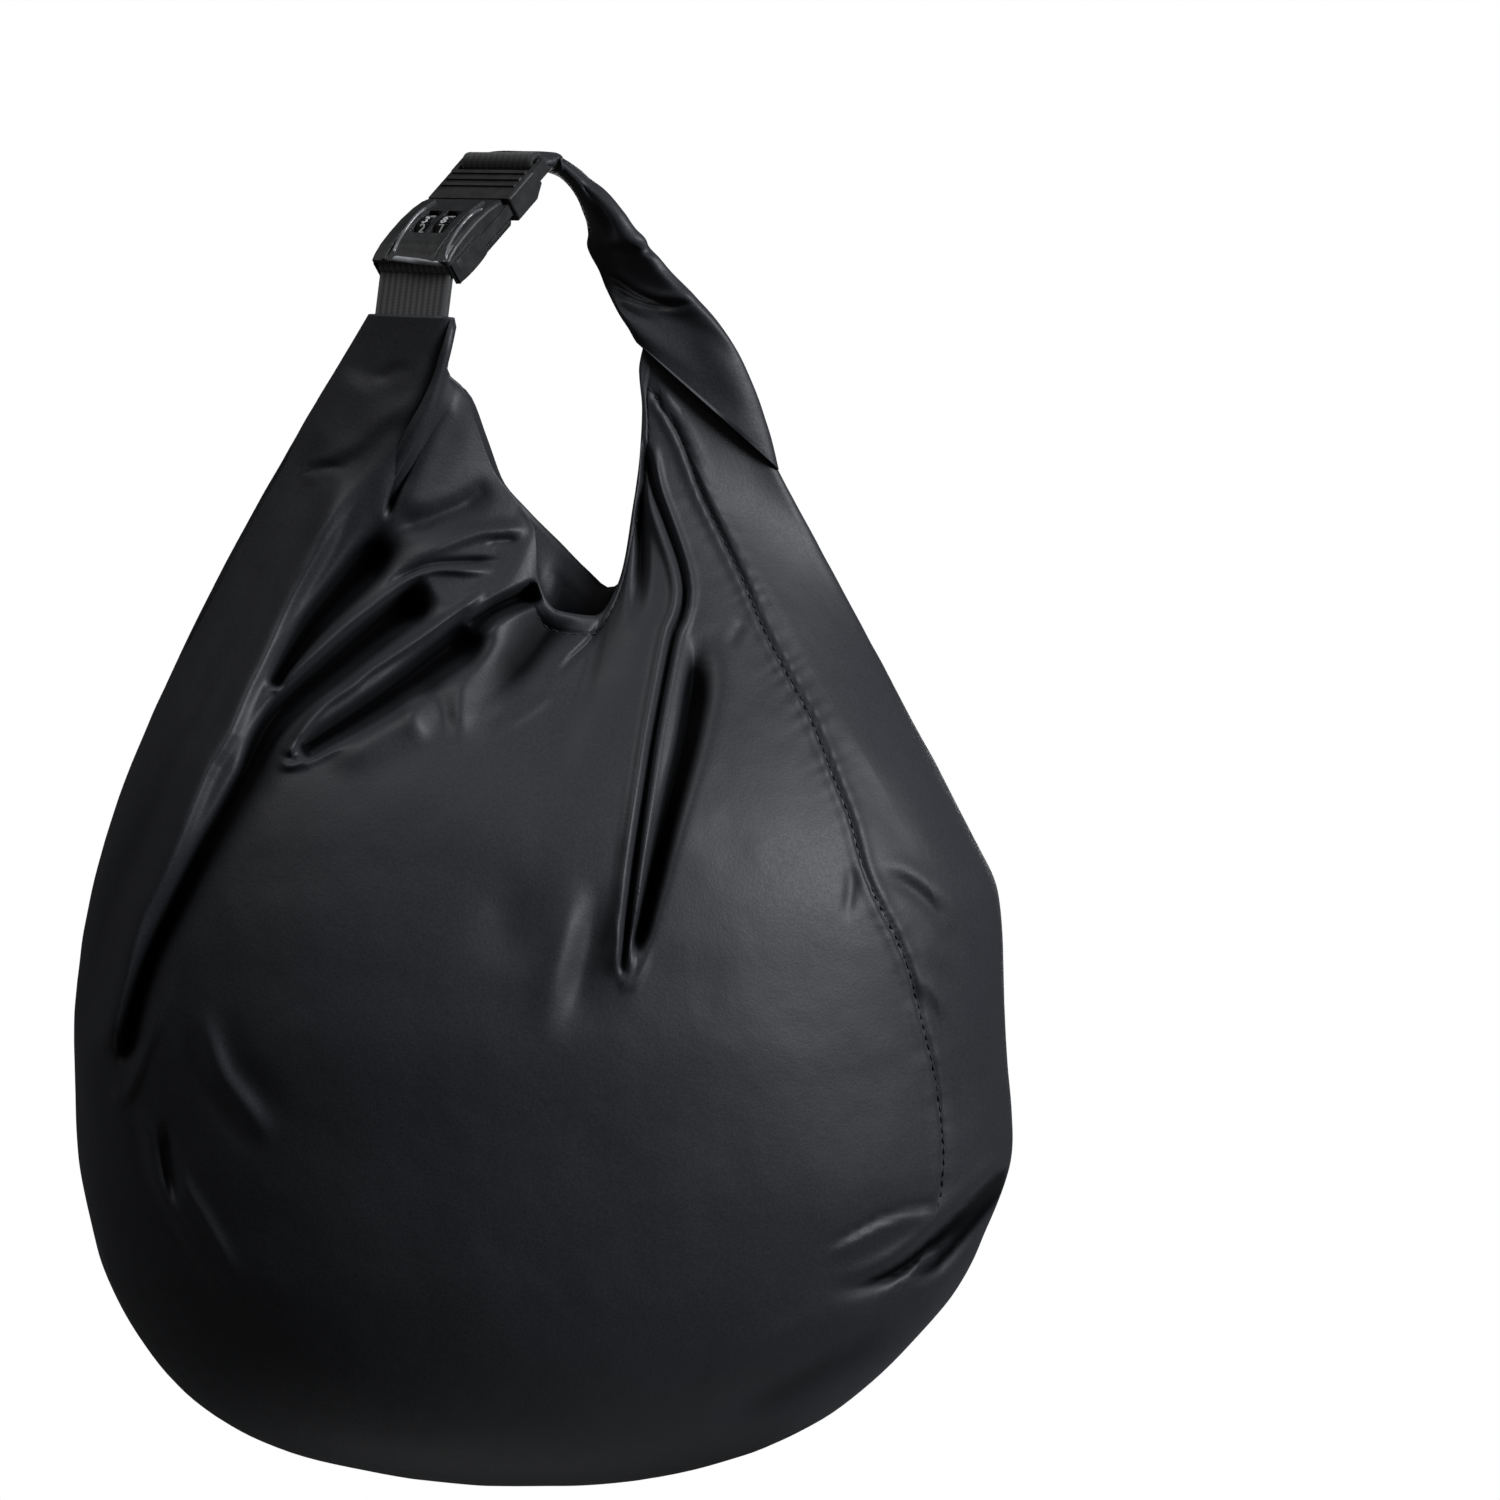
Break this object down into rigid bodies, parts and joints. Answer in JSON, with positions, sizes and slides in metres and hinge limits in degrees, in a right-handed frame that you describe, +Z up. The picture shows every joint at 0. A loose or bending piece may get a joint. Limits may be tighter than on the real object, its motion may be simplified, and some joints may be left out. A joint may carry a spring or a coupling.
{
  "type": "motorcycle helmet bag",
  "caption": "Soft round-bottomed helmet bag hanging from a twisted cloth handle, closed by a combination-lock webbing buckle",
  "frame": {"origin": "where the bag hangs: the underside of the handle at its highest point", "axes": "+Z up, +X to the right as seen from the front, -Y towards the viewer"},
  "size_m": [0.3722, 0.2696, 0.5317],
  "materials": {
    "bag_cloth": "satin coated nylon",
    "webbing": "woven, dull",
    "gloss_black": "gloss",
    "satin_black": "satin",
    "axle_steel": "plain"
  },
  "bodies": {
    "bag": {"bag_shell": "bag_cloth", "handle_sleeve": "bag_cloth", "lower_strap": "webbing", "upper_strap": "webbing", "lock_housing": "gloss_black", "clip": "satin_black", "dial_axle": "axle_steel"},
    "left_dial": {"dial_left": "gloss_black"},
    "right_dial": {"dial_right": "gloss_black"}
  },
  "joints": [
    {"name": "left_dial_turn", "type": "hinge", "parent": "bag", "child": "left_dial", "pos_m": [-0.04621, -0.02788, -0.02667], "axis": [0.7638, -0.6438, -0.047], "continuous": true},
    {"name": "right_dial_turn", "type": "hinge", "parent": "bag", "child": "right_dial", "pos_m": [-0.03858, -0.03432, -0.02714], "axis": [0.7638, -0.6438, -0.047], "continuous": true}
  ]
}
